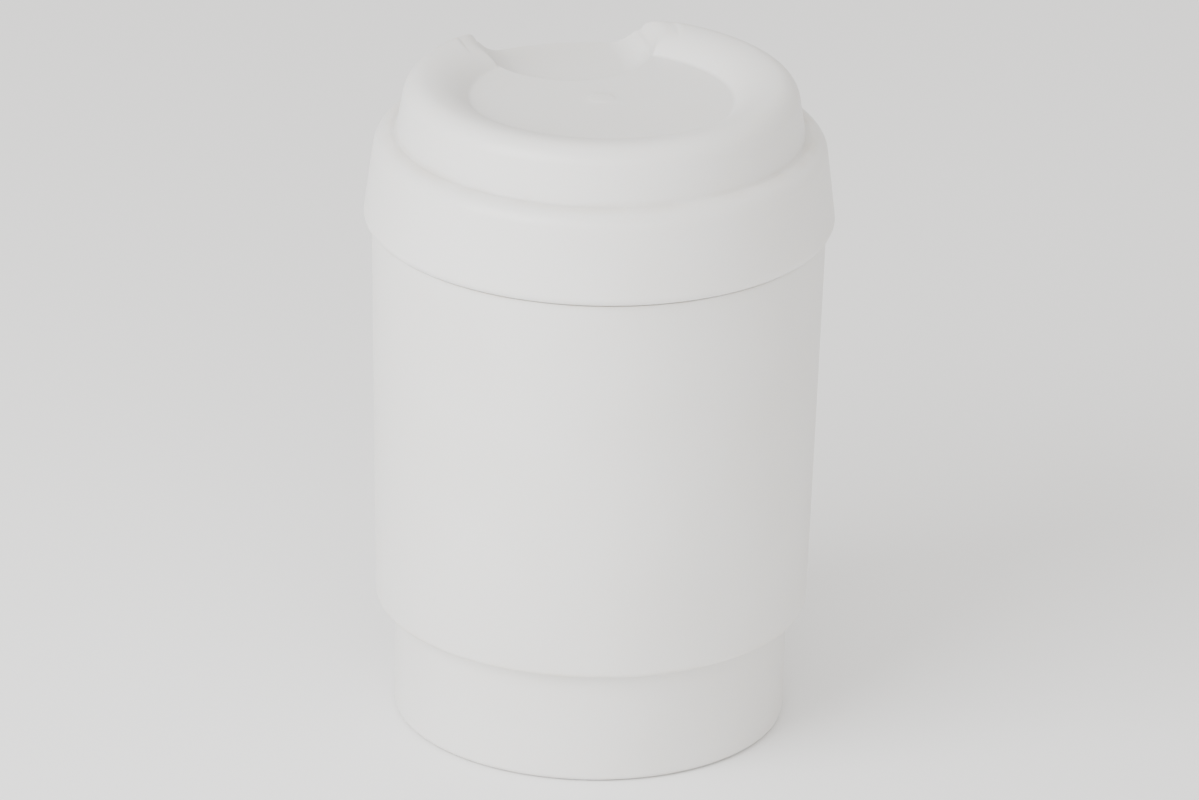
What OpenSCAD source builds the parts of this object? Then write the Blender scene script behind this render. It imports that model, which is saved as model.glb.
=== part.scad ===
// Rock tumbler barrel: a moulded plastic barrel with a stepped foot, a push-on lid with a
// C-shaped grip rim, and the sealing ring that sits in the lid's channel.
// Millimetres. +Z is up the barrel's axis, and the origin is the middle of the standing face.
// The gap in the lid's rim faces +Y.

/* [Barrel] */
// Radius of the body just above the foot
body_r = 53.8; // [40:0.1:80]
// How much wider the body's radius is at its top than at its bottom
body_draft = 2.2; // [0.5:0.1:5]
// Height of the body, from the foot's step to the ledge under the lid
body_h = 99.5; // [50:0.5:180]
// How far the foot is set in from the body
foot_step = 5.0; // [3:0.1:10]
// Height of the foot
foot_h = 30.0; // [12:0.5:50]
// Rounding of the foot's bottom edge
foot_edge_r = 1.2; // [0.4:0.1:2]
// Rounding of the body's lower edge, over the foot
body_edge_r = 1.0; // [0.4:0.1:2]
// Wall of the body and the foot
wall = 2.2; // [1.5:0.1:3.5]
// Thickness of the base
base_t = 2.8; // [2:0.1:5]
// Rounding inside, where the wall meets the base
inner_corner_r = 5.0; // [2:0.5:8]
// Radius of the shallow hollow under the base
base_hollow_r = 41.0; // [20:0.5:60]
// Depth of the shallow hollow under the base
base_hollow_h = 0.8; // [0.3:0.1:1.2]

/* [Neck] */
// How far the neck is set in from the top of the body
neck_step = 3.2; // [2.8:0.1:5]
// Wall of the neck
neck_wall = 2.2; // [1.5:0.1:3]
// Height of the neck above the ledge
neck_h = 19.1; // [15:0.1:30]
// Rounding of the edges of the mouth
mouth_edge_r = 0.8; // [0.3:0.1:1]
// How far the snap bead stands out of the neck
bead_out = 1.6; // [0.8:0.1:1.8]
// Height of the bead's middle above the ledge
bead_z = 6.0; // [5:0.1:9]

/* [Lid] */
// How far the skirt stands out beyond the top of the body
skirt_overhang = 2.0; // [1.4:0.1:3]
// How much narrower the skirt's radius is at the shoulder than at its lower edge
skirt_draft = 2.1; // [1:0.1:2.6]
// Rounding of the skirt's lower edge
skirt_lip_r = 2.0; // [0.8:0.1:2.1]
// Rounding of the shoulder, over the skirt
shoulder_r = 5.0; // [3:0.1:5.5]
// Thickness of the lid over the sealing ring
shoulder_t = 2.5; // [1.8:0.1:4]
// Wall of the lid's boss, floor, rim and skirt
lid_wall = 2.2; // [1.5:0.1:2.4]
// Height of the boss, from the shoulder to the recessed floor
boss_h = 8.5; // [5:0.1:16]
// How much narrower the boss's radius is under the rim than at the shoulder
boss_draft = 1.5; // [0.5:0.1:3]
// How far the plug under the boss reaches down inside the mouth
plug_h = 9.0; // [5:0.1:14]

/* [Rim and finger gap] */
// Height of the C-shaped rim above the recessed floor
rim_h = 5.2; // [3.5:0.1:7]
// Rounding of the rim's outer side
rim_out_r = 5.5; // [3:0.1:7]
// Rounding of the rim's long inner side
rim_in_r = 13.5; // [8:0.1:18]
// Width of the finger gap at the floor
gap_w = 40.0; // [24:0.5:50]
// Distance from the lid's axis to the round front end of the finger gap
gap_front = 13.5; // [8:0.5:20]
// Depth of the finger gap below the recessed floor
gap_depth = 3.9; // [2:0.1:4.5]
// Radius of the hollow curve from the gap's sides to its bottom
gap_fillet_r = 8.0; // [5:0.5:12]
// Rounding of the rim's two ends
rim_end_r = 6.5; // [4:0.1:8]
// Width of the flat step between the gap's edge and the rim's ends
rim_end_step = 1.1; // [0.5:0.1:3]

/* [Sealing ring] */
// Height of the sealing ring's flat band
seal_h = 1.5; // [1:0.1:3]
// Radius of the sealing ring's half-round bead
seal_bead_r = 0.6; // [0.3:0.1:1]
// How far the retaining lip covers the sealing ring's outer edge
seal_hold = 0.25; // [0.1:0.05:0.4]

/* [Clearances] */
// Gap between the skirt's lower edge and the ledge
skirt_gap = 0.3; // [0.2:0.05:1]
// Radial gap between the neck's snap bead and the skirt's
snap_clear = 0.3; // [0.2:0.05:0.6]
// Radial gap between the mouth and the plug
plug_clear = 0.3; // [0.1:0.05:0.6]
// Radial gap between the neck and the wall of the ring's channel
channel_clear = 0.7; // [0.5:0.05:1]
// Radial gap between the sealing ring and its channel
seal_clear = 0.1; // [0.02:0.01:0.2]
// Gap over and under the sealing ring
seal_gap = 0.1; // [0.02:0.01:0.3]

/* [Hidden] */
$fn = 96;
CUT = 1;                    // how far a cut runs past the face that it opens
BEAD_R = 1.2;               // rounding of the skirt's snap bead
LIP_R = 0.5;                // rounding of the retaining lip under the sealing ring

// Radii
foot_r = body_r - foot_step;
body_top_r = body_r + body_draft;
neck_r = body_top_r - neck_step;
mouth_r = neck_r - neck_wall;
plug_r = mouth_r - plug_clear;
channel_r = neck_r + channel_clear;
skirt_r = body_top_r + skirt_overhang;
skirt_bore_r = skirt_r - lid_wall;
shoulder_outer_r = skirt_r - skirt_draft;
crest_r = plug_r - boss_draft - rim_out_r;
seal_in_r = plug_r + seal_clear;
seal_out_r = channel_r - seal_clear;

// Heights
ledge_z = foot_h + body_h;
neck_top_z = ledge_z + neck_h;
seal_z = neck_top_z + seal_gap + seal_bead_r;
channel_z = seal_z + seal_h + seal_gap;
skirt_z = ledge_z + skirt_gap;
plug_z = channel_z - plug_h;
shoulder_z = channel_z + shoulder_t;
floor_z = shoulder_z + boss_h;
crest_z = floor_z + rim_h;

// Centre of the rim's outer rounding in the half section
rim_outer = [crest_r, crest_z - rim_out_r];

// The finger gap
gap_centre = gap_front + gap_w / 2;
gap_flat = gap_w / 2 - sqrt(pow(gap_fillet_r, 2) - pow(gap_fillet_r - gap_depth, 2));
gap_end = skirt_r + CUT;
rim_end_centre_z = rim_h - rim_end_r;
rim_end_w = gap_w / 2 + rim_end_step + sqrt(pow(rim_end_r, 2) - pow(rim_end_centre_z, 2));

// Angle of the outward normal of the line that touches two circles on their outer side
function touch_angle(c1, r1, c2, r2) =
    atan2(c2[1] - c1[1], c2[0] - c1[0]) - acos((r1 - r2) / norm(c2 - c1));
// The point of a circle at an angle
function on_circle(c, r, a) = [c[0] + r * cos(a), c[1] + r * sin(a)];

module disc_at(centre, r) translate(centre) circle(r);

// --- Barrel: half sections, turned about Z ---

module foot_section() {
    square([foot_r - foot_edge_r, foot_h + wall]);
    translate([0, foot_edge_r]) square([foot_r, foot_h + wall - foot_edge_r]);
    disc_at([foot_r - foot_edge_r, foot_edge_r], foot_edge_r);
}

module body_section() {
    polygon([[0, foot_h], [body_r - body_edge_r, foot_h], [body_r - body_edge_r, foot_h + body_edge_r],
             [body_r, foot_h + body_edge_r], [body_top_r, ledge_z], [0, ledge_z]]);
    disc_at([body_r - body_edge_r, foot_h + body_edge_r], body_edge_r);
}

module neck_section() {
    translate([0, ledge_z - wall]) square([neck_r, wall + neck_h - mouth_edge_r]);
    translate([0, ledge_z - wall]) square([neck_r - mouth_edge_r, wall + neck_h]);
    disc_at([neck_r - mouth_edge_r, neck_top_z - mouth_edge_r], mouth_edge_r);
    disc_at([neck_r, ledge_z + bead_z], bead_out);
}

module cavity_section() {
    foot_in_r = foot_r - wall;
    // the foot's hollow, with a rounded corner at the base
    translate([0, base_t]) square([foot_in_r - inner_corner_r, foot_h]);
    translate([0, base_t + inner_corner_r]) square([foot_in_r, foot_h]);
    disc_at([foot_in_r - inner_corner_r, base_t + inner_corner_r], inner_corner_r);
    // the body's hollow
    polygon([[0, foot_h + wall], [body_r - wall, foot_h + wall],
             [body_top_r - wall, ledge_z - wall], [0, ledge_z - wall]]);
    // the mouth
    translate([0, ledge_z - 2 * wall]) square([mouth_r, 2 * wall + neck_h + CUT]);
}

module barrel() {
    color([0.88, 0.87, 0.85])
    difference() {
        rotate_extrude() difference() {
            union() {
                foot_section();
                body_section();
                neck_section();
            }
            cavity_section();
        }
        translate([0, 0, -CUT]) cylinder(r = base_hollow_r, h = CUT + base_hollow_h);
    }
}

// --- Sealing ring ---

module seal_ring() {
    color([0.80, 0.79, 0.76])
    rotate_extrude() {
        translate([seal_in_r, seal_z]) square([seal_out_r - seal_in_r, seal_h]);
        disc_at([(mouth_r + neck_r) / 2, seal_z], seal_bead_r);
    }
}

// --- Lid ---

// Skirt and shoulder, solid to the axis
module skirt_section() {
    lip = [skirt_r - skirt_lip_r, skirt_z + skirt_lip_r];
    shoulder = [shoulder_outer_r - shoulder_r, shoulder_z - shoulder_r];
    a = touch_angle(lip, skirt_lip_r, shoulder, shoulder_r);
    polygon([[0, skirt_z], [lip[0], skirt_z], lip, on_circle(lip, skirt_lip_r, a),
             on_circle(shoulder, shoulder_r, a), shoulder, [shoulder[0], shoulder_z], [0, shoulder_z]]);
    disc_at(lip, skirt_lip_r);
    disc_at(shoulder, shoulder_r);
}

// Boss with its full rim
module boss_section() {
    foot = [plug_r, shoulder_z];
    a = touch_angle(foot, 0, rim_outer, rim_out_r);
    polygon([[0, skirt_z], [plug_r, skirt_z], foot, on_circle(rim_outer, rim_out_r, a),
             rim_outer, [crest_r, floor_z], [0, floor_z]]);
    disc_at(rim_outer, rim_out_r);
    intersection() {
        disc_at([crest_r, crest_z - rim_in_r], rim_in_r);
        translate([0, floor_z]) square([crest_r, rim_h]);
    }
}

// The hollow inside the plug and the boss, up into the rim
module hollow_section() {
    ceiling_z = floor_z - lid_wall;
    polygon([[0, plug_z - CUT], [plug_r - lid_wall, plug_z - CUT], [plug_r - lid_wall, shoulder_z],
             rim_outer + [rim_out_r - lid_wall, 0], [crest_r, rim_outer[1]], [crest_r, ceiling_z], [0, ceiling_z]]);
    disc_at(rim_outer, rim_out_r - lid_wall);
    intersection() {
        disc_at([crest_r, crest_z - rim_in_r], rim_in_r - lid_wall);
        translate([0, ceiling_z]) square([crest_r, rim_h]);
    }
}

// The room for the neck, its bead and the sealing ring
module channel_section() {
    difference() {
        polygon([[0, skirt_z - CUT], [skirt_bore_r, skirt_z - CUT], [skirt_bore_r, skirt_z],
                 [channel_r, seal_z - seal_gap - 2 * LIP_R], [channel_r, channel_z],
                 [plug_r, channel_z], [plug_r, plug_z], [0, plug_z]]);
        disc_at([neck_r + bead_out + snap_clear + BEAD_R, skirt_z + 2 * BEAD_R], BEAD_R);
        disc_at([seal_out_r - seal_hold + LIP_R, seal_z - seal_gap - LIP_R], LIP_R);
    }
}

// Half of the finger gap's cross-section below the floor; grow makes the shell around it
module pocket_section(grow) {
    translate([0, -gap_depth - grow]) square([gap_flat, gap_depth + grow + CUT]);
    square([gap_w / 2, CUT]);
    intersection() {
        disc_at([gap_flat, gap_fillet_r - gap_depth], gap_fillet_r + grow);
        translate([0, -gap_depth - grow]) square([gap_w / 2 + grow, gap_depth + grow]);
    }
}

// Half of the gap's cross-section between the rim's rounded ends, above the floor
module rim_gap_section() {
    square([gap_w / 2 + rim_end_step, rim_h + CUT]);
    difference() {
        square([rim_end_w, rim_h + CUT]);
        disc_at([rim_end_w, rim_end_centre_z], rim_end_r);
    }
}

// A half cross-section and its mirror image, drawn along Y over a length that ends past the skirt
module along_gap(length) {
    translate([0, length, 0]) rotate([90, 0, 0]) linear_extrude(length) {
        children();
        mirror([1, 0]) children();
    }
}

module pocket(grow) {
    translate([0, gap_centre, floor_z]) {
        rotate_extrude() pocket_section(grow);
        along_gap(gap_end - gap_centre) pocket_section(grow);
    }
}

// What the lid is hollowed by: the boss less its wall, less the walls of the finger gap
module boss_hollow() {
    difference() {
        rotate_extrude() hollow_section();
        pocket(lid_wall);
        translate([0, 0, floor_z]) along_gap(gap_end) translate([0, -lid_wall]) square([rim_end_w, boss_h]);
    }
}

module lid() {
    color([0.90, 0.89, 0.87])
    difference() {
        rotate_extrude() difference() {
            union() {
                skirt_section();
                boss_section();
            }
            channel_section();
        }
        boss_hollow();
        pocket(0);
        translate([0, 0, floor_z]) along_gap(gap_end) rim_gap_section();
    }
}

barrel();
seal_ring();
lid();
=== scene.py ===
"""A rock tumbler barrel in satin white polyethylene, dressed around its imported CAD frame.

The barrel, its push-on lid and the sealing ring are turned or moulded shells. Each is made here as
a closed, finely rounded mesh that stands for the plain CAD solid of the same name, and rides on that
solid's body. Sizes in the classes are millimetres, and meshes are written in metres.
"""

import logging
import math
from dataclasses import dataclass
from enum import Enum

import bpy
import numpy as np
from mathutils import Matrix, Vector


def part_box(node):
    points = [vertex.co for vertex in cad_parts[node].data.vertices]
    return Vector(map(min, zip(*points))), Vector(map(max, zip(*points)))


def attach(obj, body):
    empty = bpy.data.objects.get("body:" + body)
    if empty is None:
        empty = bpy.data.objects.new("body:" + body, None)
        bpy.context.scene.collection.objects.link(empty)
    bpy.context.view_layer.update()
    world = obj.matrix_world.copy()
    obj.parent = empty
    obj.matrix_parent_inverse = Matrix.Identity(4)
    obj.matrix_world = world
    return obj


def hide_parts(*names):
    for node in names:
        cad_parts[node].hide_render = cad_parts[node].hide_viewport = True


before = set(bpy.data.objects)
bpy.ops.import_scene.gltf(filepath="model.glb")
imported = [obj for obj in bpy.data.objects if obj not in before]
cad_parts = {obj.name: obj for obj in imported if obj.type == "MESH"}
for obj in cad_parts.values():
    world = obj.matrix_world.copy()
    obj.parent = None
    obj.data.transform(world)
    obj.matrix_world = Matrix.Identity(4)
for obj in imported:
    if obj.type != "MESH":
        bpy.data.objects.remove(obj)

LOG = logging.getLogger("tumbler_barrel")
MM = 0.001
PER_MM = 1000.0
WELD_DISTANCE = 1e-5

Point = tuple[float, float]
Outline = list[Point]


# --------------------------------------------------------------------------------------
# Outlines: half sections as points of radius and height
# --------------------------------------------------------------------------------------

def arc(centre: Point, radius: float, start: float, end: float, steps: int) -> Outline:
    """Points along an arc.

    Args:
        centre: Radius and height of the arc's middle.
        radius: Radius of the arc.
        start: First angle, in degrees from the radius axis.
        end: Last angle, in degrees.
        steps: Number of stretches.

    Returns:
        The arc's points, both ends among them.
    """
    angles = [math.radians(start + (end - start) * i / steps) for i in range(steps + 1)]
    return [(centre[0] + radius * math.cos(a), centre[1] + radius * math.sin(a)) for a in angles]


def touch_angle(c1: Point, r1: float, c2: Point, r2: float) -> float:
    """Angle, in degrees, of the outward normal of the line that touches two circles outside.

    Args:
        c1: Centre of the lower circle.
        r1: Its radius.
        c2: Centre of the upper circle.
        r2: Its radius.

    Returns:
        The normal's angle from the radius axis.
    """
    dx, dz = c2[0] - c1[0], c2[1] - c1[1]
    return math.degrees(math.atan2(dz, dx) - math.acos((r1 - r2) / math.hypot(dx, dz)))


def rounded(corners: list[tuple[float, float, float]], steps: int = 6) -> Outline:
    """An open outline whose corners are rounded.

    Args:
        corners: Radius, height and rounding of each corner, in order.
        steps: Stretches in each rounding.

    Returns:
        The outline's points.
    """
    points: Outline = []
    for i, (x, z, rounding) in enumerate(corners):
        if rounding <= 0 or i in (0, len(corners) - 1):
            points.append((x, z))
            continue
        here = Vector((x, z))
        before = Vector(corners[i - 1][:2]) - here
        after = Vector(corners[i + 1][:2]) - here
        half = before.angle(after) / 2
        reach = min(rounding / math.tan(half), 0.49 * before.length, 0.49 * after.length)
        radius = reach * math.tan(half)
        inward = (before.normalized() + after.normalized()).normalized()
        middle = here + inward * radius / math.sin(half)
        first = here + before.normalized() * reach - middle
        last = here + after.normalized() * reach - middle
        start = math.atan2(first.y, first.x)
        sweep = (math.atan2(last.y, last.x) - start + math.pi) % (2 * math.pi) - math.pi
        points += arc(tuple(middle), radius, math.degrees(start), math.degrees(start + sweep), steps)
    return points


def refined(outline: Outline, longest: float) -> Outline:
    """An outline with points added so that no stretch is longer than a limit.

    Args:
        outline: The outline.
        longest: The longest stretch allowed.

    Returns:
        The outline's own points and those added.
    """
    points = [outline[0]]
    for a, b in zip(outline, outline[1:]):
        parts = max(1, math.ceil(math.dist(a, b) / longest - 1e-6))
        points += [(a[0] + (b[0] - a[0]) * k / parts, a[1] + (b[1] - a[1]) * k / parts)
                   for k in range(1, parts + 1)]
    return points


# --------------------------------------------------------------------------------------
# Meshes
# --------------------------------------------------------------------------------------

def new_piece(name: str, vertices: np.ndarray, edges: list, faces: list) -> bpy.types.Object:
    """Makes a smooth-shaded object at the origin.

    Args:
        name: Name of the piece.
        vertices: Points in millimetres, one row each.
        edges: Pairs of point numbers, for a mesh without faces.
        faces: Corner numbers of each face.

    Returns:
        The new object, linked to the scene.
    """
    mesh = bpy.data.meshes.new(name)
    mesh.from_pydata((np.asarray(vertices) * MM).tolist(), edges, faces)
    mesh.polygons.foreach_set("use_smooth", [True] * len(mesh.polygons))
    mesh.update()
    piece = bpy.data.objects.new(name, mesh)
    bpy.context.scene.collection.objects.link(piece)
    return piece


class Lathe:
    """Geometry nodes that turn an outline about Z into a closed shell.

    The outline is a loop of edges in the XY plane, drawn with its height along -Y and set in by the
    guide ring's radius, because the nodes sweep it round a guide ring.
    """

    GUIDE_R = 10.0

    def __init__(self) -> None:
        """Builds the node tree once, for every turned piece."""
        self.tree = bpy.data.node_groups.new("Lathe", "GeometryNodeTree")
        face = self.tree.interface
        face.new_socket("Outline", in_out="INPUT", socket_type="NodeSocketGeometry")
        guide = face.new_socket("Guide radius", in_out="INPUT", socket_type="NodeSocketFloat")
        around = face.new_socket("Stretches around", in_out="INPUT", socket_type="NodeSocketInt")
        weld = face.new_socket("Weld distance", in_out="INPUT", socket_type="NodeSocketFloat")
        finish = face.new_socket("Finish", in_out="INPUT", socket_type="NodeSocketMaterial")
        face.new_socket("Shell", in_out="OUTPUT", socket_type="NodeSocketGeometry")
        guide.default_value = self.GUIDE_R * MM
        around.default_value = 180
        weld.default_value = WELD_DISTANCE
        self.sockets = {"around": around.identifier, "finish": finish.identifier,
                        "guide": guide.identifier, "weld": weld.identifier}
        self._wire()

    def _wire(self) -> None:
        """Adds the nodes and links them in a row."""
        nodes, links = self.tree.nodes, self.tree.links
        entry, leave = nodes.new("NodeGroupInput"), nodes.new("NodeGroupOutput")
        curve = nodes.new("GeometryNodeMeshToCurve")
        ring = nodes.new("GeometryNodeCurvePrimitiveCircle")
        sweep = nodes.new("GeometryNodeCurveToMesh")
        merge = nodes.new("GeometryNodeMergeByDistance")
        smooth = nodes.new("GeometryNodeSetShadeSmooth")
        real = nodes.new("GeometryNodeRealizeInstances")
        dress = nodes.new("GeometryNodeSetMaterial")
        links.new(entry.outputs["Outline"], curve.inputs["Mesh"])
        links.new(entry.outputs["Guide radius"], ring.inputs["Radius"])
        links.new(entry.outputs["Stretches around"], ring.inputs["Resolution"])
        links.new(ring.outputs["Curve"], sweep.inputs["Curve"])
        links.new(curve.outputs["Curve"], sweep.inputs["Profile Curve"])
        links.new(sweep.outputs["Mesh"], merge.inputs["Geometry"])
        links.new(entry.outputs["Weld distance"], merge.inputs["Distance"])
        links.new(merge.outputs["Geometry"], smooth.inputs["Geometry"])
        links.new(smooth.outputs["Geometry"], real.inputs["Geometry"])
        links.new(real.outputs["Geometry"], dress.inputs["Geometry"])
        links.new(entry.outputs["Finish"], dress.inputs["Material"])
        links.new(dress.outputs["Geometry"], leave.inputs["Shell"])

    def turn(self, name: str, outline: Outline, around: int,
             finish: bpy.types.Material) -> bpy.types.Object:
        """Turns a closed outline into a finished piece.

        Args:
            name: Name of the piece.
            outline: The half section, clockwise with height up, without a repeated last point.
            around: Number of stretches around the axis.
            finish: Material of the piece.

        Returns:
            A plain mesh object with no modifier left on it.
        """
        points = [(r - self.GUIDE_R, -z, 0) for r, z in outline]
        loop = [(i, (i + 1) % len(points)) for i in range(len(points))]
        piece = new_piece(name, np.array(points), loop, [])
        modifier = piece.modifiers.new("Lathe", "NODES")
        modifier.node_group = self.tree
        modifier[self.sockets["guide"]] = self.GUIDE_R * MM
        modifier[self.sockets["around"]] = around
        modifier[self.sockets["weld"]] = WELD_DISTANCE
        modifier[self.sockets["finish"]] = finish
        graph = bpy.context.evaluated_depsgraph_get()
        shell = bpy.data.meshes.new_from_object(piece.evaluated_get(graph))
        piece.modifiers.remove(modifier)
        piece.data = shell
        shell.name = name
        return piece


# --------------------------------------------------------------------------------------
# Finishes
# --------------------------------------------------------------------------------------

# Share of the dust colour mixed in, which also paints shade into creases and contacts.
DUST_AND_SHADE_COVER = 0.35
DUST_ROUGHENS = 0.2
MARK_DEPTH = 1.5e-5
CLOUD_ROUGHNESS = 0.04
SCATTER_DEPTHS = (0.004, 0.0034, 0.0026)
PLASTIC_IOR = 1.5

class Kit:
    """Small helpers for writing a node tree in few lines."""

    def __init__(self, tree: bpy.types.NodeTree) -> None:
        """Keeps the tree whose nodes are made."""
        self.tree = tree

    def add(self, kind: str, values: dict | None = None, **settings: object) -> bpy.types.Node:
        """Makes a node.

        Args:
            kind: Type name of the node.
            values: Input name or number to a plain value or to the output that feeds it.
            settings: Properties of the node.

        Returns:
            The new node.
        """
        node = self.tree.nodes.new(kind)
        for key, value in settings.items():
            setattr(node, key, value)
        for key, value in (values or {}).items():
            self.feed(node.inputs[key], value)
        return node

    def feed(self, socket: bpy.types.NodeSocket, value: object) -> None:
        """Links an output to a socket, or sets the socket's own value."""
        if isinstance(value, bpy.types.NodeSocket):
            self.tree.links.new(value, socket)
        else:
            socket.default_value = value

    def math(self, operation: str, a: object, b: object = 0.0) -> bpy.types.NodeSocket:
        """The result of one sum of two values."""
        node = self.add("ShaderNodeMath", {0: a, 1: b}, operation=operation)
        return node.outputs[0]

    def smoothstep(self, value: object, low: object, high: object) -> bpy.types.NodeSocket:
        """0 below low and 1 above high, with an eased climb between them."""
        node = self.add("ShaderNodeMapRange", {"Value": value, "From Min": low, "From Max": high},
                        interpolation_type="SMOOTHSTEP")
        return node.outputs[0]

    def mix(self, factor: object, a: object, b: object) -> bpy.types.NodeSocket:
        """A colour between a and b."""
        node = self.add("ShaderNodeMix", data_type="RGBA")
        for socket, value in ((node.inputs[0], factor), (node.inputs[6], a), (node.inputs[7], b)):
            self.feed(socket, value)
        return node.outputs[2]


GroupStart = tuple[bpy.types.NodeTree, Kit, bpy.types.Node, bpy.types.Node]


def shader_group(name: str, inputs: dict[str, float], outputs: list[str]) -> GroupStart:
    """Starts a shader node group with named sockets.

    Args:
        name: Name of the group.
        inputs: Name and first value of each number that goes in.
        outputs: Names of the numbers that come out.

    Returns:
        The tree, a kit for it, and its two end nodes.
    """
    tree = bpy.data.node_groups.new(name, "ShaderNodeTree")
    tree.interface.new_socket("Place", in_out="INPUT", socket_type="NodeSocketVector")
    for label, value in inputs.items():
        socket = tree.interface.new_socket(label, in_out="INPUT", socket_type="NodeSocketFloat")
        socket.default_value = value
    for label in outputs:
        tree.interface.new_socket(label, in_out="OUTPUT", socket_type="NodeSocketFloat")
    kit = Kit(tree)
    return tree, kit, kit.add("NodeGroupInput"), kit.add("NodeGroupOutput")


def moulded_grain_group() -> bpy.types.NodeTree:
    """Fine mould texture and slow ripples of a thick plastic wall, as a height in metres."""
    tree, kit, entry, leave = shader_group(
        "Moulded grain",
        {"Grain size": 0.0004, "Grain height": 4e-6, "Ripple size": 0.03, "Ripple height": 6e-5},
        ["Height", "Cloud"])
    place = entry.outputs["Place"]
    grain = kit.add("ShaderNodeTexNoise", {
        "Vector": place, "Scale": kit.math("DIVIDE", 1.0, entry.outputs["Grain size"]), "Detail": 2.0,
        "Roughness": 0.6})
    ripple = kit.add("ShaderNodeTexNoise", {
        "Vector": place, "Scale": kit.math("DIVIDE", 1.0, entry.outputs["Ripple size"]), "Detail": 1.0,
        "Roughness": 0.4})
    fine = kit.math("MULTIPLY", grain.outputs[0], entry.outputs["Grain height"])
    slow = kit.math("MULTIPLY", ripple.outputs[0], entry.outputs["Ripple height"])
    kit.feed(leave.inputs["Height"], kit.math("ADD", fine, slow))
    kit.feed(leave.inputs["Cloud"], ripple.outputs[0])
    return tree


def roller_marks_group() -> bpy.types.NodeTree:
    """Fine rings and short scratches round Z, between two heights, where the shell runs on rollers."""
    tree, kit, entry, leave = shader_group(
        "Roller marks", {"Low": 0.0, "High": 0.03, "Edge": 0.003, "Fineness": 2600.0}, ["Mask"])
    parts = kit.add("ShaderNodeSeparateXYZ", {0: entry.outputs["Place"]})
    height = parts.outputs["Z"]
    edge = entry.outputs["Edge"]
    above = kit.smoothstep(height, entry.outputs["Low"], kit.math("ADD", entry.outputs["Low"], edge))
    below = kit.smoothstep(height, entry.outputs["High"], kit.math("SUBTRACT", entry.outputs["High"], edge))
    # Turning angle over a few radians, so that a scratch is long round the axis and thin along it.
    angle = kit.math("ARCTAN2", parts.outputs["Y"], parts.outputs["X"])
    swept = kit.add("ShaderNodeCombineXYZ", {
        "X": kit.math("COSINE", angle), "Y": kit.math("SINE", angle),
        "Z": kit.math("MULTIPLY", height, entry.outputs["Fineness"])})
    lines = kit.add("ShaderNodeTexNoise", {"Vector": swept.outputs[0], "Scale": 1.0, "Detail": 2.0})
    patches = kit.add("ShaderNodeTexNoise", {"Vector": entry.outputs["Place"], "Scale": 60.0, "Detail": 2.0})
    thin = kit.smoothstep(lines.outputs[0], 0.60, 0.72)
    broken = kit.smoothstep(patches.outputs[0], 0.42, 0.62)
    band = kit.math("MULTIPLY", above, below)
    kit.feed(leave.inputs["Mask"], kit.math("MULTIPLY", kit.math("MULTIPLY", thin, broken), band))
    return tree


def dust_and_crease_shade_group() -> bpy.types.NodeTree:
    """A soft, patchy band at one height, such as the corner of a step, where rock flour settles; it also
    paints crease shade there as a darker, warmer colour.
    """
    tree, kit, entry, leave = shader_group(
        "Settled dust", {"Height": 0.03, "Reach": 0.002, "Patchiness": 90.0}, ["Mask"])
    height = kit.add("ShaderNodeSeparateXYZ", {0: entry.outputs["Place"]}).outputs["Z"]
    away = kit.math("ABSOLUTE", kit.math("SUBTRACT", height, entry.outputs["Height"]))
    near = kit.math("SUBTRACT", 1.0, kit.smoothstep(away, 0.0, entry.outputs["Reach"]))
    patches = kit.add("ShaderNodeTexNoise", {
        "Vector": entry.outputs["Place"], "Scale": entry.outputs["Patchiness"], "Detail": 3.0})
    kit.feed(leave.inputs["Mask"],
             kit.math("MULTIPLY", near, kit.smoothstep(patches.outputs[0], 0.25, 0.70)))
    return tree


@dataclass(frozen=True)
class DustAndShadeBand:
    """One height, in millimetres, at which dust settles and crease shade is painted, and how far it spreads.
    """

    height: float
    reach: float


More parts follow.
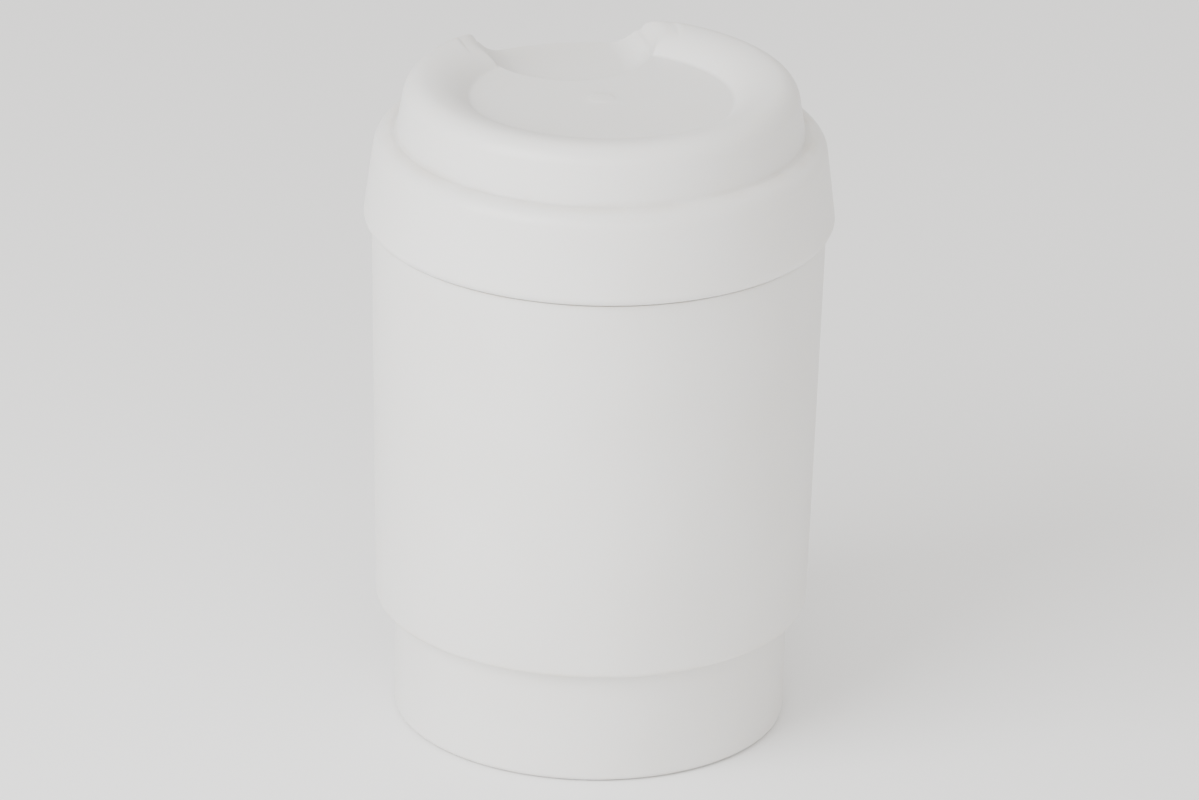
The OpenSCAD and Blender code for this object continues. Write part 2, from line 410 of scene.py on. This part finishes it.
@dataclass(frozen=True)
class PlasticFinish:
    """A satin moulded plastic, with grain, roller marks, and settled dust that also paints crease shade.

    Attributes:
        name: Name of the material.
        colour: Colour of clean plastic, linear.
        cloud_colour: Colour of its slightly denser patches.
        dust_and_shade_colour: Colour of settled rock flour, and of the painted shade in creases and at
            contacts.
        roughness: Roughness of clean plastic.
        marked_roughness: Roughness within roller marks.
        sheen_through: Share of light that scatters inside the wall.
        marks: Lowest and highest height of the roller marks, in millimetres.
        dust_and_shade: Bands of settled dust, which are also painted crease shade.
    """

    name: str
    colour: tuple[float, float, float]
    cloud_colour: tuple[float, float, float]
    dust_and_shade_colour: tuple[float, float, float]
    roughness: float
    marked_roughness: float
    sheen_through: float
    marks: Point
    dust_and_shade: tuple[DustAndShadeBand, ...]

    def material(self, grain: bpy.types.NodeTree, marks: bpy.types.NodeTree,
                 dust_and_shade: bpy.types.NodeTree) -> bpy.types.Material:
        """Builds the material.

        Args:
            grain: Group of the mould's grain.
            marks: Group of the roller marks.
            dust_and_shade: Group of the settled dust and painted crease shade.

        Returns:
            The new material.
        """
        material = bpy.data.materials.new(self.name)
        material.use_nodes = True
        material.diffuse_color = (*self.colour, 1)
        kit = Kit(material.node_tree)
        shader = material.node_tree.nodes["Principled BSDF"]
        place = kit.add("ShaderNodeTexCoord").outputs["Object"]
        moulded = kit.add("ShaderNodeGroup", node_tree=grain)
        kit.feed(moulded.inputs["Place"], place)
        rings = kit.add("ShaderNodeGroup", node_tree=marks)
        kit.feed(rings.inputs["Place"], place)
        kit.feed(rings.inputs["Low"], self.marks[0] * MM)
        kit.feed(rings.inputs["High"], self.marks[1] * MM)
        # Painted shade: the dust bands darken and warm the base colour at creases and contacts, standing for
        # shade as well as for settled dust.
        dust_and_shade_mask: object = 0.0
        for band in self.dust_and_shade:
            layer = kit.add("ShaderNodeGroup", node_tree=dust_and_shade)
            kit.feed(layer.inputs["Place"], place)
            kit.feed(layer.inputs["Height"], band.height * MM)
            kit.feed(layer.inputs["Reach"], band.reach * MM)
            dust_and_shade_mask = kit.math("MAXIMUM", dust_and_shade_mask, layer.outputs["Mask"])
        clean = kit.mix(kit.smoothstep(moulded.outputs["Cloud"], 0.3, 0.7), (*self.colour, 1),
                        (*self.cloud_colour, 1))
        kit.feed(shader.inputs["Base Color"],
                 kit.mix(kit.math("MULTIPLY", dust_and_shade_mask, DUST_AND_SHADE_COVER), clean, (*self.dust_and_shade_colour, 1)))
        worn = kit.math("MULTIPLY", rings.outputs["Mask"], self.marked_roughness - self.roughness)
        dusty = kit.math("MULTIPLY", dust_and_shade_mask, DUST_ROUGHENS)
        rough = kit.math("ADD", kit.math("ADD", worn, dusty),
                         kit.add("ShaderNodeMapRange", {
                             "Value": moulded.outputs["Cloud"], "From Min": 0.2, "From Max": 0.8,
                             "To Min": self.roughness - CLOUD_ROUGHNESS,
                             "To Max": self.roughness + CLOUD_ROUGHNESS}).outputs[0])
        kit.feed(shader.inputs["Roughness"], rough)
        height = kit.math("SUBTRACT", moulded.outputs["Height"],
                          kit.math("MULTIPLY", rings.outputs["Mask"], MARK_DEPTH))
        bump = kit.add("ShaderNodeBump", {"Strength": 1.0, "Distance": 1.0, "Height": height})
        kit.feed(shader.inputs["Normal"], bump.outputs[0])
        shader.inputs["Subsurface Weight"].default_value = self.sheen_through
        shader.inputs["Subsurface Radius"].default_value = SCATTER_DEPTHS
        shader.inputs["Subsurface Scale"].default_value = 1.0
        shader.inputs["IOR"].default_value = PLASTIC_IOR
        return material


# --------------------------------------------------------------------------------------
# The barrel
# --------------------------------------------------------------------------------------

@dataclass
class BarrelShell:
    """The moulded barrel: stepped foot, tapered body, neck with a snap bead, and mouth.

    Attributes:
        top_r: Radius of the body at the ledge under the lid.
        neck_top: Height of the mouth.
    """

    top_r: float
    neck_top: float
    draft: float = 2.2
    foot_step: float = 5.0
    foot_h: float = 30.0
    neck_h: float = 19.1
    neck_step: float = 3.2
    wall: float = 2.2
    base_t: float = 2.8
    base_hollow_r: float = 41.0
    base_hollow_h: float = 0.8
    bead_out: float = 1.6
    bead_above: float = 6.0
    gate_r: float = 4.0
    gate_deep: float = 0.5
    around: int = 240

    @property
    def body_r(self) -> float:
        """Radius of the body just above the foot."""
        return self.top_r - self.draft

    @property
    def foot_r(self) -> float:
        """Radius of the foot."""
        return self.body_r - self.foot_step

    @property
    def ledge(self) -> float:
        """Height of the ledge under the lid."""
        return self.neck_top - self.neck_h

    def outside(self) -> Outline:
        """The half section from the middle of the base up to the mouth."""
        neck_r = self.top_r - self.neck_step
        bead = self.ledge + self.bead_above
        low_bead = math.degrees(math.asin(0.9))
        lower = rounded([
            (0, self.base_hollow_h - self.gate_deep, 0),
            (self.gate_r, self.base_hollow_h - self.gate_deep, 0.3),
            (self.gate_r + 0.6, self.base_hollow_h, 0.3),
            (self.base_hollow_r - 1.2, self.base_hollow_h, 0.8),
            (self.base_hollow_r + 0.4, 0, 0.8),
            (self.foot_r, 0, 1.6),
            (self.foot_r, self.foot_h, 0.7),
            (self.body_r, self.foot_h, 1.3),
            (self.top_r, self.ledge, 0.2),
            (neck_r, self.ledge, 0.6),
            (neck_r, bead - self.bead_out, 0),
        ])
        # The snap bead is a half round, eased into the neck.
        ring = arc((neck_r, bead), self.bead_out, -low_bead, low_bead, 14)
        below = (neck_r, bead - self.bead_out - 0.4)
        above = (neck_r, bead + self.bead_out + 0.4)
        return lower[:-1] + [below] + ring + [above]

    def inside(self) -> Outline:
        """The half section from the mouth down to the middle of the floor inside."""
        neck_r = self.top_r - self.neck_step
        mouth_r = neck_r - self.wall
        inner_foot = self.foot_r - self.wall
        return rounded([
            (neck_r, self.ledge + self.bead_above + self.bead_out + 0.4, 0),
            (neck_r, self.neck_top, 0.9),
            (mouth_r, self.neck_top, 0.9),
            (mouth_r, self.ledge - self.wall, 1.0),
            (self.top_r - self.wall, self.ledge - self.wall - 0.6, 1.6),
            (self.body_r - self.wall, self.foot_h + self.wall, 1.6),
            (inner_foot, self.foot_h + self.wall - 0.4, 1.6),
            (inner_foot, self.base_t, 5.0),
            (0, self.base_t, 0),
        ])[1:]

    def build(self, lathe: Lathe, finish: bpy.types.Material) -> bpy.types.Object:
        """Turns the shell.

        Args:
            lathe: The lathe that turns it.
            finish: Its material.

        Returns:
            The finished piece, riding on its body.
        """
        outline = refined(self.outside() + self.inside(), 3.0)
        piece = lathe.turn("barrel_shell", outline[::-1], self.around, finish)
        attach(piece, "barrel")
        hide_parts("barrel")
        return piece


# --------------------------------------------------------------------------------------
# The sealing ring
# --------------------------------------------------------------------------------------

@dataclass
class SealRing:
    """The soft ring that the mouth closes on: a flat band with a half-round bead under it.

    Attributes:
        inner_r: Inner radius of the band.
        outer_r: Outer radius of the band.
        low: Height of the bead's lowest point.
        high: Height of the band's top.
    """

    inner_r: float
    outer_r: float
    low: float
    high: float
    bead_r: float = 0.6
    edge: float = 0.25
    around: int = 200

    def build(self, lathe: Lathe, finish: bpy.types.Material) -> bpy.types.Object:
        """Turns the ring.

        Args:
            lathe: The lathe that turns it.
            finish: Its material.

        Returns:
            The finished piece, riding on its body.
        """
        band = self.low + self.bead_r
        middle = (self.inner_r + self.outer_r) / 2
        bead = arc((middle, band), self.bead_r, 180, 360, 12)
        top = rounded([
            (middle + self.bead_r, band, 0), (self.outer_r, band, self.edge),
            (self.outer_r, self.high, self.edge), (self.inner_r, self.high, self.edge),
            (self.inner_r, band, self.edge), (middle - self.bead_r, band, 0)])
        outline = bead + top[1:-1]
        piece = lathe.turn("sealing_ring", outline[::-1], self.around, finish)
        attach(piece, "seal_ring")
        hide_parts("seal_ring")
        return piece


# --------------------------------------------------------------------------------------
# The lid
# --------------------------------------------------------------------------------------

def soft_lower(a: np.ndarray, b: np.ndarray, reach: float) -> np.ndarray:
    """The lower of two heights, with the crease between them rounded.

    Args:
        a: First heights.
        b: Second heights.
        reach: Difference in height within which the two blend.

    Returns:
        The blended heights, nowhere above either.
    """
    h = np.clip(reach - np.abs(a - b), 0, None) / reach
    return np.minimum(a, b) - h * h * reach / 4


@dataclass
class FingerGap:
    """The scoop at the open part of the lid's rim. Heights count from the recessed floor.

    Attributes:
        half_w: Half its width at the floor, and the radius of its round front end.
        reach: How far its front end lies inside the rim's crest.
        depth: Depth of its flat bottom.
        fillet: Radius of the hollow curve from its bottom to its sides.
        step: Flat step between the scoop's edge and the rim's ends.
        end_r: Rounding of the rim's two ends.
        end_blend: How tightly the rounding blends into the rim.
        rim_h: Height of the rim.
        edge_blend: Difference in height within which the scoop blends into the floor.
        under_blend: The same for its underside.
        steepest: Share of a hollow curve's radius past which it goes on as a straight climb.
        scoop_climb: Slope of that climb.
        end_climb: Slope above the rounding of the rim's ends.
    """

    half_w: float = 20.0
    reach: float = 29.8
    depth: float = 3.9
    fillet: float = 8.0
    step: float = 1.1
    end_r: float = 6.5
    end_blend: float = 7.0
    rim_h: float = 5.2
    edge_blend: float = 1.3
    under_blend: float = 1.0
    steepest: float = 0.98
    scoop_climb: float = 4.0
    end_climb: float = 2.5

    def outside(self, x: np.ndarray, y: np.ndarray, crest_r: float) -> np.ndarray:
        """Distance of places in plan from the scoop's edge, negative inside it.

        Args:
            x: Places across the gap.
            y: Places along it, out from the lid's axis.
            crest_r: Radius of the rim's crest.
        """
        beyond = y - (crest_r - self.reach + self.half_w)
        beside = np.where(beyond > 0, np.abs(x) - self.half_w, np.inf)
        return np.minimum(np.hypot(x, beyond) - self.half_w, beside)

    def scoop(self, away: np.ndarray, grow: float = 0.0) -> np.ndarray:
        """Height of the scoop's surface, climbing ever higher outside it.

        Args:
            away: Distances from its edge.
            grow: Wall under it, which makes the surface of its underside.
        """
        radius = self.fillet + grow
        run = math.sqrt(self.fillet ** 2 - (self.fillet - self.depth) ** 2)
        inside = np.clip(away + run, 0, radius * self.steepest)
        curve = self.fillet - self.depth - np.sqrt(radius ** 2 - inside ** 2)
        return curve + np.clip(away + run - radius * self.steepest, 0, None) * self.scoop_climb

    def rim(self, full: np.ndarray, away: np.ndarray) -> np.ndarray:
        """Height of the rim, rounded down to the floor at its two ends.

        Args:
            full: Height of the unbroken rim over the floor.
            away: Distances from the scoop's edge.
        """
        low = self.rim_h - self.end_r
        foot = math.sqrt(self.end_r ** 2 - min(low, 0) ** 2)
        short = np.clip(foot - (away - self.step), 0, foot)
        climb = np.clip(away - self.step - foot, 0, None) * self.end_climb
        end = low + np.sqrt(self.end_r ** 2 - short ** 2) + climb
        end = np.where(away < self.step, 0, end)
        both = np.maximum(full, 1e-6) ** -self.end_blend + np.maximum(end, 1e-6) ** -self.end_blend
        return np.where(full > 0, both ** (-1 / self.end_blend), full)


@dataclass
class LidShell:
    """The push-on lid: skirt, shoulder, boss, C-shaped rim, recessed floor and finger gap.

    Attributes:
        skirt_r: Radius of the skirt at its widest.
        low: Height of the skirt's lower edge.
        crest: Height of the rim's crest.
    """

    skirt_r: float
    low: float
    crest: float
    gap: FingerGap
    skirt_draft: float = 2.1
    lip_r: float = 2.4
    shoulder_r: float = 5.0
    shoulder_below: float = 13.7
    crease_r: float = 0.9
    boss_in: float = 7.7
    boss_draft: float = 1.5
    rim_out_r: float = 5.5
    rim_in_r: float = 13.5
    wall: float = 2.2
    plug_h: float = 9.0
    ceiling_below: float = 2.5
    channel_in: float = 4.5
    gate_r: float = 3.2
    gate_h: float = 0.15
    fine: float = 0.42
    coarse: float = 2.5

    @property
    def floor(self) -> float:
        """Height of the recessed floor."""
        return self.crest - self.gap.rim_h

    @property
    def shoulder(self) -> float:
        """Height of the shoulder's top."""
        return self.crest - self.shoulder_below

    @property
    def plug_r(self) -> float:
        """Outer radius of the plug, and of the boss at the shoulder."""
        return self.skirt_r - self.boss_in

    @property
    def crest_r(self) -> float:
        """Radius of the rim's crest."""
        return self.plug_r - self.boss_draft - self.rim_out_r

    def skirt(self) -> Outline:
        """From the skirt's lower edge over the shoulder to the crease at the boss."""
        lip = (self.skirt_r - self.lip_r, self.low + self.lip_r)
        shoulder = (self.skirt_r - self.skirt_draft - self.shoulder_r, self.shoulder - self.shoulder_r)
        side = touch_angle(lip, self.lip_r, shoulder, self.shoulder_r)
        wall_out = arc(lip, self.lip_r, -90, side, 12)
        over = arc(shoulder, self.shoulder_r, side, 82, 16)
        return refined(wall_out + over, self.coarse)

    def boss(self) -> Outline:
        """From the crease up the boss and over the rim to the foot of its inner side."""
        outer = (self.crest_r, self.crest - self.rim_out_r)
        foot = (self.plug_r, self.shoulder)
        side = touch_angle(foot, 0, outer, self.rim_out_r)
        centre = (foot[0] + self.crease_r * 0.9, foot[1] + self.crease_r * 0.75)
        crease = arc(centre, self.crease_r, 262, 180 + side, 6)
        over = arc(outer, self.rim_out_r, side, 90, 22)
        reach = math.degrees(math.acos((self.rim_in_r - self.gap.rim_h) / self.rim_in_r))
        down = arc((self.crest_r, self.crest - self.rim_in_r), self.rim_in_r, 90, 90 + reach - 1.5, 24)
        return refined(crease + over + down[1:], self.fine)

    def recess(self) -> Outline:
        """From the rim's inner foot over the recessed floor to its middle."""
        edge = self.crest_r - math.sqrt(self.rim_in_r ** 2 - (self.rim_in_r - self.gap.rim_h) ** 2)
        ring = [(edge - 0.25, self.floor + 0.03), (edge - 0.6, self.floor)]
        near = self.crest_r - self.gap.reach - 1.0
        steps = math.ceil((edge - 0.6 - near) / self.fine)
        ring += [(edge - 0.6 - (edge - 0.6 - near) * k / steps, self.floor) for k in range(1, steps + 1)]
        mark_top = self.floor + self.gate_h
        mark = [(self.gate_r + 0.5, self.floor), (self.gate_r + 0.2, self.floor + 0.05),
                (self.gate_r - 0.1, mark_top - 0.05), (self.gate_r - 0.4, mark_top),
                (self.gate_r / 2, mark_top + 0.02), (0, mark_top + 0.02)]
        return ring + refined([ring[-1]] + mark, self.coarse)[1:]

    def underside(self) -> Outline:
        """From the middle of the ceiling out through the rim's hollow, plug and channel to the lip."""
        ceiling = self.floor - self.wall
        outer_r, inner_r = self.rim_out_r - self.wall, self.rim_in_r - self.wall
        rise = inner_r - (self.gap.rim_h + ceiling - self.floor)
        start = self.crest_r - math.sqrt(inner_r ** 2 - rise ** 2)
        reach = math.degrees(math.acos(rise / inner_r))
        hollow = refined([(0, ceiling), (start - 0.4, ceiling)], 2.2)
        hollow += arc((self.crest_r, self.crest - self.rim_in_r), inner_r, 90 + reach, 90, 10)
        hollow += arc((self.crest_r, self.crest - self.rim_out_r), outer_r, 90, 0, 8)[1:]
        roof = self.shoulder - self.ceiling_below
        plug_low = roof - self.plug_h
        bore = self.skirt_r - self.wall
        channel_r = self.skirt_r - self.channel_in
        rest = rounded([
            (self.crest_r + outer_r, self.crest - self.rim_out_r, 0),
            (self.plug_r - self.wall, self.shoulder, 2.0),
            (self.plug_r - self.wall, plug_low, 0.7),
            (self.plug_r - 0.25, plug_low, 0.7),
            (self.plug_r, plug_low + 2.5, 1.0),
            (self.plug_r, roof, 0.3),
            (channel_r, roof, 0.3),
            (channel_r, roof - 2.25, 0.1),
            (channel_r - 0.3, roof - 2.6, 0.25),
            (channel_r, roof - 3.1, 0.3),
            (bore - 0.35, self.low + 4.6, 0.5),
            (bore - 1.1, self.low + 2.4, 1.1),
            (bore - 0.1, self.low + 0.9, 0.5),
            (bore + 0.1, self.low, 0.4),
        ], 5)
        tail = [(self.skirt_r - self.lip_r, self.low)]
        return hollow + refined(rest[1:] + tail, self.coarse)[:-1]

    def directions(self) -> np.ndarray:
        """Angles round Z, close together where the finger gap is and wider apart elsewhere."""
        near, step_near, step_far = 62.0, 0.5, 1.6
        gap_side = np.arange(90 - near, 90 + near, step_near)
        far_steps = round((360 - 2 * near) / step_far)
        far_side = 90 + near + (360 - 2 * near) * np.arange(far_steps) / far_steps
        return np.radians(np.concatenate([gap_side, far_side]))

    def build(self, finish: bpy.types.Material) -> bpy.types.Object:
        """Moulds the lid: turned rows of points, pressed down to the finger gap where it cuts.

        Args:
            finish: Its material.

        Returns:
            The finished piece, riding on its body.
        """
        over = self.skirt() + self.boss() + self.recess()
        under = self.underside()
        rows = np.array(over[:-1] + under[1:])
        angles = self.directions()
        x = rows[:, :1] * np.cos(angles)[None, :]
        y = rows[:, :1] * np.sin(angles)[None, :]
        z = np.repeat(rows[:, 1:], len(angles), axis=1)
        above = len(over) - 1
        top = slice(len(self.skirt()), above)
        away = self.gap.outside(x, y, self.crest_r)
        z[top] = self.floor + self.gap.rim(z[top] - self.floor, away[top])
        z[top] = soft_lower(z[top], self.floor + self.gap.scoop(away[top]), self.gap.edge_blend)
        hollow = (rows[:, 1] > self.shoulder) & (np.arange(len(rows)) >= above)
        ceiling = self.floor - self.wall
        ended = away[hollow] < self.gap.step + self.gap.end_r
        z[hollow] = np.where(ended, np.minimum(z[hollow], ceiling), z[hollow])
        scoop_under = self.floor + self.gap.scoop(away[hollow], self.wall)
        z[hollow] = soft_lower(z[hollow], scoop_under, self.gap.under_blend)
        points = np.stack([x, y, z], axis=-1).reshape(-1, 3)
        poles = len(points)
        points = np.vstack([points, [[0, 0, over[-1][1]], [0, 0, under[0][1]]]])
        around = len(angles)
        faces = []
        for row in range(len(rows)):
            after = (row + 1) % len(rows)
            if row == above - 1:
                continue
            for k in range(around):
                n = (k + 1) % around
                faces.append((row * around + k, row * around + n,
                              after * around + n, after * around + k))
        for k in range(around):
            n = (k + 1) % around
            faces.append(((above - 1) * around + k, (above - 1) * around + n, poles))
            faces.append((above * around + n, above * around + k, poles + 1))
        piece = new_piece("lid_shell", points, [], faces)
        piece.data.materials.append(finish)
        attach(piece, "lid")
        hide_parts("lid")
        return piece


# --------------------------------------------------------------------------------------
# The studio
# --------------------------------------------------------------------------------------

@dataclass(frozen=True)
class StudioCamera:
    """A long lens that looks slightly down on the barrel from the front.

    Attributes:
        azimuth: Turn about Z from looking along +Y, in degrees.
        elevation: Height angle, in degrees.
        roll: Tilt of the picture, in degrees.
        distance: Distance from the aim point, in millimetres.
        aim_height: Height of the aim point, in millimetres.
        aside: How far the aim point lies to the right of the axis, in millimetres.
        lens: Focal length for a sensor 36 mm wide.
    """

    azimuth: float = -15.0
    elevation: float = 22.71
    roll: float = 1.27
    distance: float = 2432.0
    aim_height: float = 81.75
    aside: float = 1.09
    lens: float = 294.3

    def build(self) -> bpy.types.Object:
        """Makes the camera and gives it to the scene."""
        a, e, r = (math.radians(v) for v in (self.azimuth, self.elevation, self.roll))
        right = Vector((math.cos(a), math.sin(a), 0))
        back = Vector((math.sin(a) * math.cos(e), -math.cos(a) * math.cos(e), math.sin(e)))
        up = back.cross(right)
        across = math.cos(r) * right + math.sin(r) * up
        upward = back.cross(across)
        place = Vector((0, 0, self.aim_height)) + self.aside * right + self.distance * back
        data = bpy.data.cameras.new("camera")
        data.lens = self.lens
        data.sensor_width = 36
        data.clip_end = 100
        camera = bpy.data.objects.new("camera", data)
        turned = Matrix((across, upward, back)).transposed().to_4x4()
        camera.matrix_world = Matrix.Translation(place * MM) @ turned
        bpy.context.scene.collection.objects.link(camera)
        bpy.context.scene.camera = camera
        return camera


class LightRole(Enum):
    """What each soft light is for."""

    KEY = "key"
    FILL = "fill"
    TOP = "top"


@dataclass(frozen=True)
class SoftLight:
    """A square soft light that faces the barrel.

    Attributes:
        role: What it is for.
        azimuth: Side that it stands on, in degrees as the camera's.
        elevation: Height angle, in degrees.
        distance: Distance from the barrel, in metres.
        size: Width of its face, in metres.
        power: Power, in watts.
        colour: Colour of its light.
    """

    role: LightRole
    azimuth: float
    elevation: float
    distance: float
    size: float
    power: float
    colour: tuple[float, float, float] = (1.0, 1.0, 1.0)

    def build(self) -> bpy.types.Object:
        """Makes the light, turned towards the barrel's middle."""
        a, e = math.radians(self.azimuth), math.radians(self.elevation)
        away = Vector((math.sin(a) * math.cos(e), -math.cos(a) * math.cos(e), math.sin(e)))
        data = bpy.data.lights.new(f"light_{self.role.value}", "AREA")
        data.size, data.energy, data.color = self.size, self.power, self.colour
        light = bpy.data.objects.new(data.name, data)
        light.location = Vector((0, 0, 0.08)) + away * self.distance
        light.rotation_euler = away.to_track_quat("Z", "Y").to_euler()
        bpy.context.scene.collection.objects.link(light)
        return light


@dataclass(frozen=True)
class Studio:
    """Floor, surroundings, lights and camera."""

    floor_size: float = 8.0
    floor_tone: float = 0.93
    air_colour: tuple[float, float, float] = (1.0, 0.975, 0.94)
    air_strength: float = 1.15

    def build(self) -> None:
        """Sets the studio up round the object."""
        mesh = bpy.data.meshes.new("floor")
        half = self.floor_size / 2
        corners = [(-half, -half, 0), (half, -half, 0), (half, half, 0), (-half, half, 0)]
        mesh.from_pydata(corners, [], [(0, 1, 2, 3)])
        floor = bpy.data.objects.new("floor", mesh)
        floor.location.z = -0.0002
        bpy.context.scene.collection.objects.link(floor)
        paint = bpy.data.materials.new("floor_paint")
        paint.use_nodes = True
        shader = paint.node_tree.nodes["Principled BSDF"]
        shader.inputs["Base Color"].default_value = (self.floor_tone,) * 3 + (1,)
        shader.inputs["Roughness"].default_value = 0.8
        mesh.materials.append(paint)
        world = bpy.data.worlds.new("studio_air")
        world.use_nodes = True
        air = world.node_tree.nodes["Background"]
        air.inputs["Color"].default_value = (*self.air_colour, 1)
        air.inputs["Strength"].default_value = self.air_strength
        bpy.context.scene.world = world
        for light in (
            SoftLight(LightRole.KEY, -62, 30, 1.1, 0.8, 17.0, (0.97, 0.985, 1.0)),
            SoftLight(LightRole.FILL, -12, 24, 1.5, 0.9, 7.0, (1.0, 0.99, 0.975)),
            SoftLight(LightRole.TOP, -30, 84, 1.3, 1.0, 3.0),
        ):
            light.build()
        StudioCamera().build()


# --------------------------------------------------------------------------------------
# Assembly
# --------------------------------------------------------------------------------------

def reach(node: str) -> tuple[float, float, float]:
    """Widest radius, lowest and highest height of a CAD node, in millimetres.

    Args:
        node: Name of the CAD node.

    Returns:
        The radius and the two heights.
    """
    low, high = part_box(node)
    return high.x * PER_MM, low.z * PER_MM, high.z * PER_MM


def inner_radius(node: str) -> float:
    """Smallest radius of a ring-shaped CAD node, in millimetres."""
    mesh = bpy.data.objects[node].data
    return min(math.hypot(v.co.x, v.co.y) for v in mesh.vertices) * PER_MM


def main() -> None:
    """Builds every piece, then the studio."""
    logging.basicConfig(level=logging.INFO, format="%(name)s: %(message)s")
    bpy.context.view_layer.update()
    grain, marks, dust_and_shade = moulded_grain_group(), roller_marks_group(), dust_and_crease_shade_group()
    barrel_r, _, neck_top = reach("barrel")
    skirt_r, lid_low, crest = reach("lid")
    ring_r, ring_low, ring_high = reach("seal_ring")
    lid = LidShell(skirt_r, lid_low, crest, FingerGap())
    barrel = BarrelShell(barrel_r, neck_top)
    # Painted shade: the dust bands at the foot step, the ledge, the floor contact, the shoulder crease and
    # the skirt's lower edge darken and warm the colour where shade falls, as well as standing for settled
    # dust.
    barrel_finish = PlasticFinish(
        "barrel_polyethylene", (0.775, 0.765, 0.745), (0.755, 0.742, 0.718), (0.60, 0.55, 0.48),
        0.42, 0.60, 0.25, (1.5, barrel.foot_h - 2.0),
        (DustAndShadeBand(barrel.foot_h, 2.2), DustAndShadeBand(barrel.ledge, 1.2), DustAndShadeBand(0.0, 1.5)))
    lid_finish = PlasticFinish(
        "lid_polyethylene", (0.790, 0.780, 0.762), (0.770, 0.757, 0.735), (0.62, 0.57, 0.50),
        0.36, 0.55, 0.25, (lid.shoulder + 1.5, lid.floor - 1.0),
        (DustAndShadeBand(lid.shoulder, 1.4), DustAndShadeBand(lid.low, 0.8)))
    seal_finish = PlasticFinish(
        "seal_elastomer", (0.60, 0.585, 0.55), (0.57, 0.553, 0.515), (0.50, 0.46, 0.40),
        0.50, 0.60, 0.15, (0.0, 1.0), (DustAndShadeBand(ring_low, 0.6),))
    lathe = Lathe()
    ring = SealRing(inner_radius("seal_ring"), ring_r, ring_low, ring_high)
    pieces = [
        barrel.build(lathe, barrel_finish.material(grain, marks, dust_and_shade)),
        ring.build(lathe, seal_finish.material(grain, marks, dust_and_shade)),
        lid.build(lid_finish.material(grain, marks, dust_and_shade)),
    ]
    for piece in pieces:
        LOG.info("%s: %d faces", piece.name, len(piece.data.polygons))
    Studio().build()


if __name__ == "__main__":
    main()
